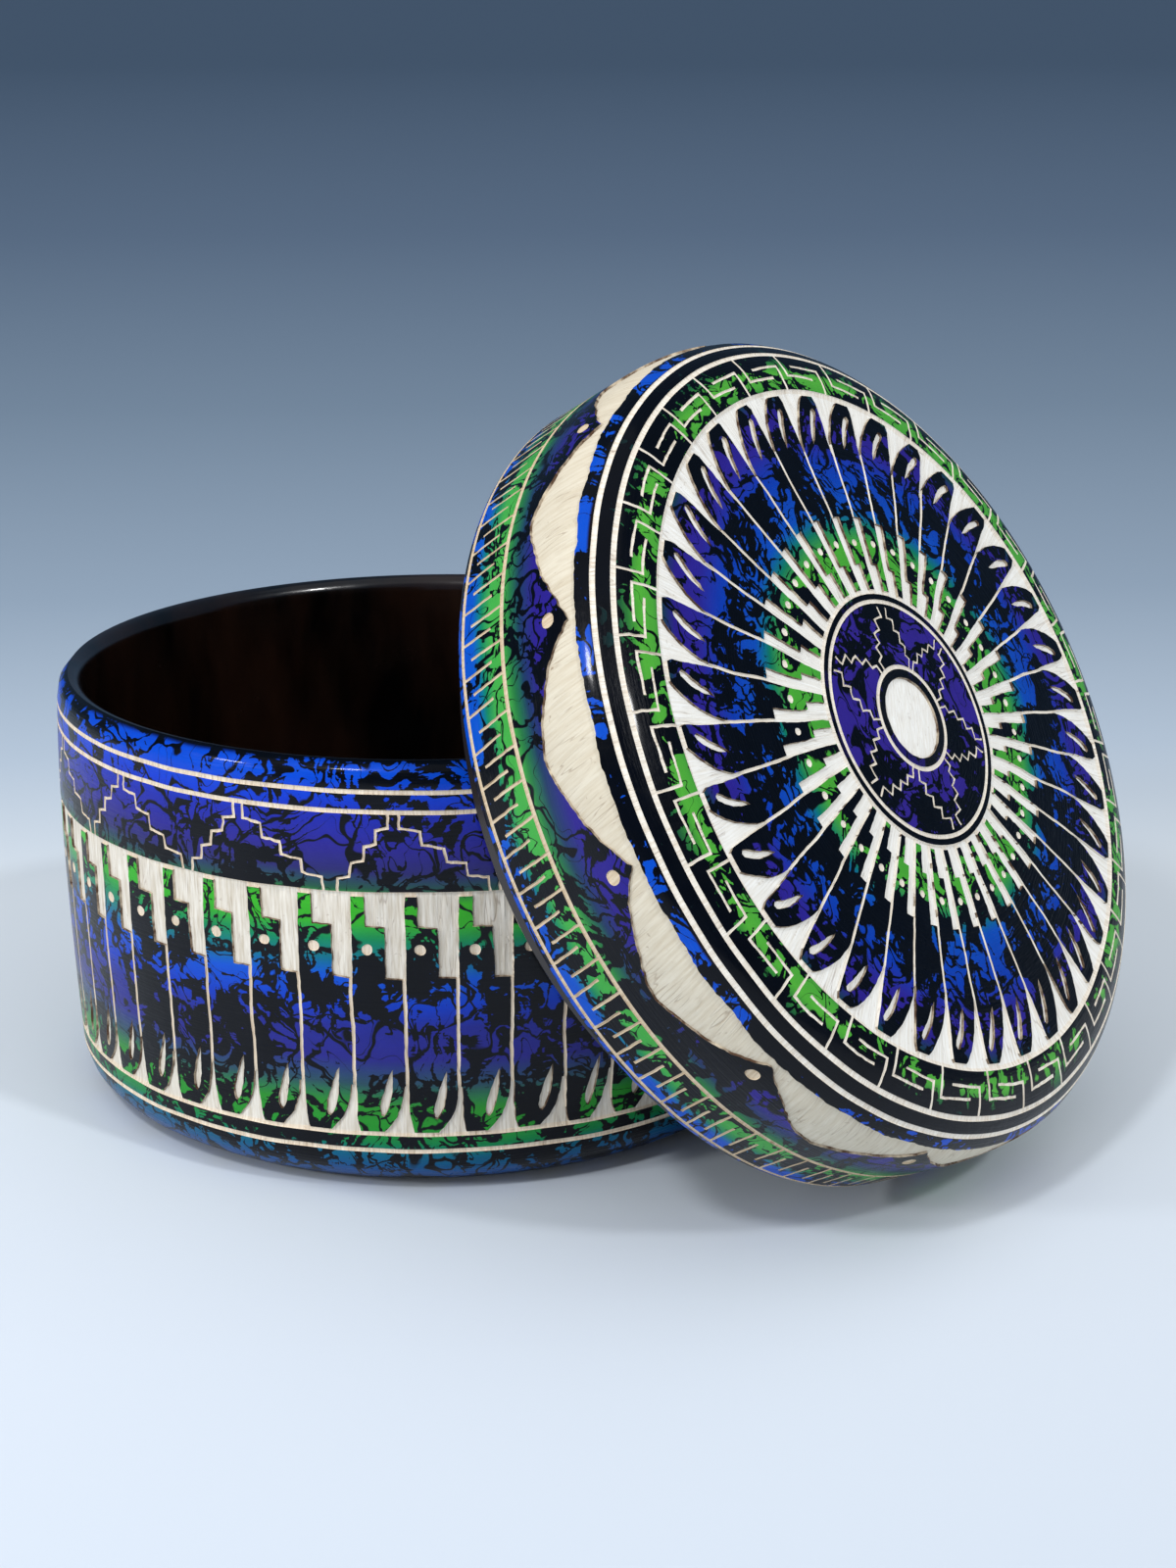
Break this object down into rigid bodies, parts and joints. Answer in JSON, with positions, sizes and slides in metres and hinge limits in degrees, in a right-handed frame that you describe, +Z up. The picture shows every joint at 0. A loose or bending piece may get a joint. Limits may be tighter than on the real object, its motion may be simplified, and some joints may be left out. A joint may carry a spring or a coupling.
{
  "type": "lidded pottery box",
  "caption": "Round etched pottery jewelry box with straight walls and a deep domed lid, lid off and leaning on the rim, feather, stepped and key ornament",
  "frame": {"origin": "centre of the body's flat underside, on the table", "axes": "+Z up along the body's axis; +Y away from the picture's camera, +X to its right"},
  "size_m": [0.1994, 0.1816, 0.1404],
  "materials": {
    "painted_slip": "satin"
  },
  "bodies": {
    "box": {"box_body": "painted_slip"},
    "lid": {"lid": "painted_slip"}
  },
  "joints": [
    {"name": "lid_lift", "type": "slide", "parent": "box", "child": "lid", "axis": [0.682, -0.5483, 0.484], "range_m": [0, 0.15]}
  ]
}
